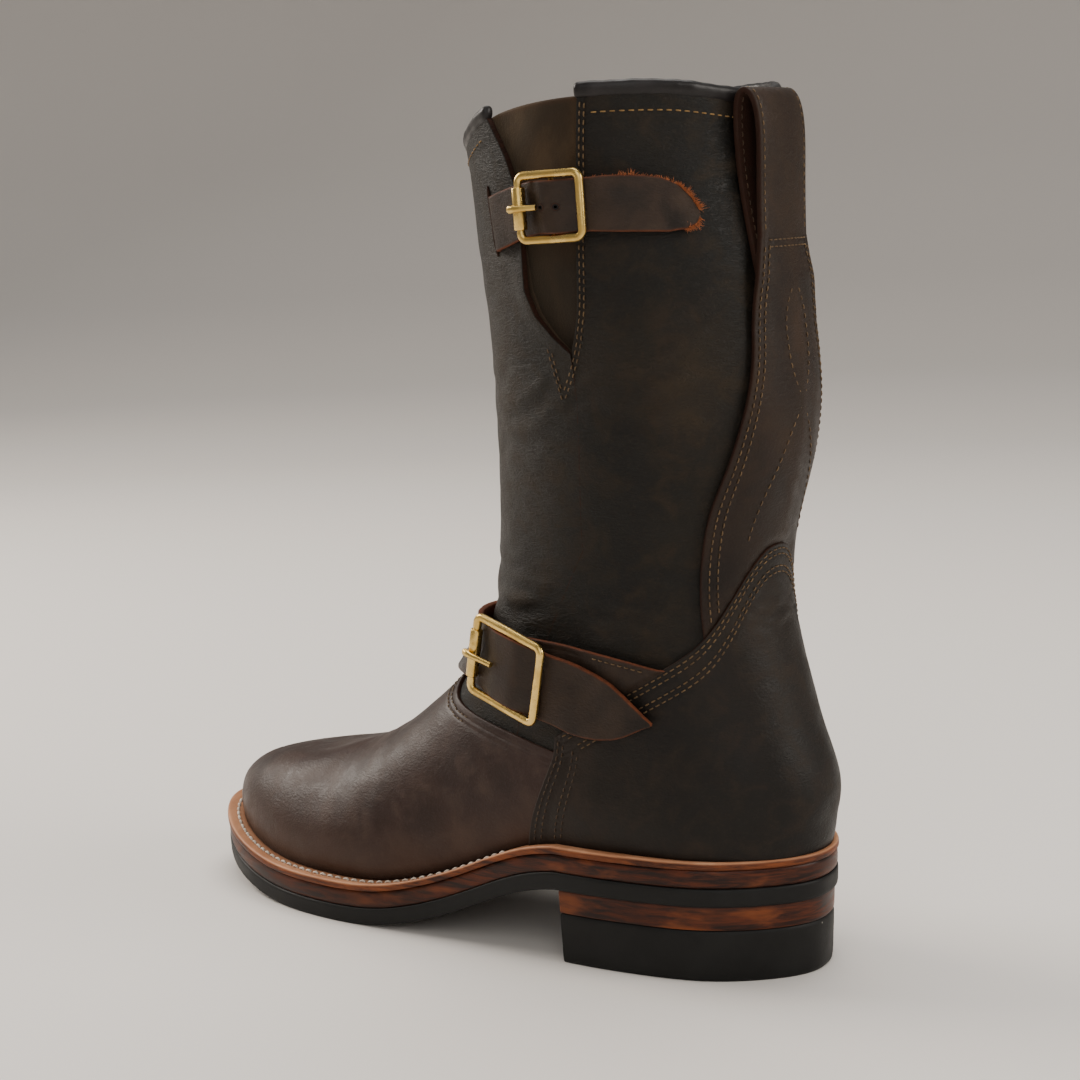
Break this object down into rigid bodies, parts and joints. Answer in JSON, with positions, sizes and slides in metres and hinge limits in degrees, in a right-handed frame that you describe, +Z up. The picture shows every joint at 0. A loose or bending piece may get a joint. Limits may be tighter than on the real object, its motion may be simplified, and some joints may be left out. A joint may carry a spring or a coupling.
{
  "type": "boot",
  "caption": "Left engineer boot: tall leather shaft with V gusset, buckled straps at collar and instep, back pull loop, welted sole and stacked heel.",
  "frame": {"origin": "on the floor, under the middle of the whole boot's box", "axes": "+Z up, the toe towards -Y, +X towards the outer side, where the buckles are"},
  "size_m": [0.1192, 0.2958, 0.3175],
  "materials": {
    "shaft_leather": "waxed pull-up leather, near-black brown, satin",
    "counter_leather": "waxed pull-up leather, near-black brown, satin",
    "strap_leather": "dark leather with raw red-brown edges",
    "gusset_leather": "brown napped suede",
    "binding_leather": "soft dark leather, rolled",
    "insole_leather": "natural vegetable-tanned leather",
    "welt_leather": "natural tan leather, smooth edge",
    "midsole_leather": "red-brown leather, burnished edge",
    "heel_leather": "red-brown stacked leather, burnished",
    "sole_rubber": "black rubber, satin",
    "brass": "pale satin brass"
  },
  "bodies": {
    "root": {"outsole": "sole_rubber", "midsole": "midsole_leather", "welt": "welt_leather", "heel_lift": "heel_leather", "heel_top_piece": "sole_rubber", "insole": "insole_leather", "upper": "shaft_leather", "gusset": "gusset_leather", "collar_binding": "binding_leather", "counter": "counter_leather", "back_stay": "counter_leather", "pull_loop": "counter_leather", "top_strap": "strap_leather", "top_chape": "strap_leather", "top_buckle": "brass", "top_roller": "brass", "top_prong": "brass", "instep_strap": "strap_leather", "instep_chape": "strap_leather", "instep_buckle": "brass", "instep_roller": "brass", "instep_prong": "brass"}
  },
  "joints": []
}
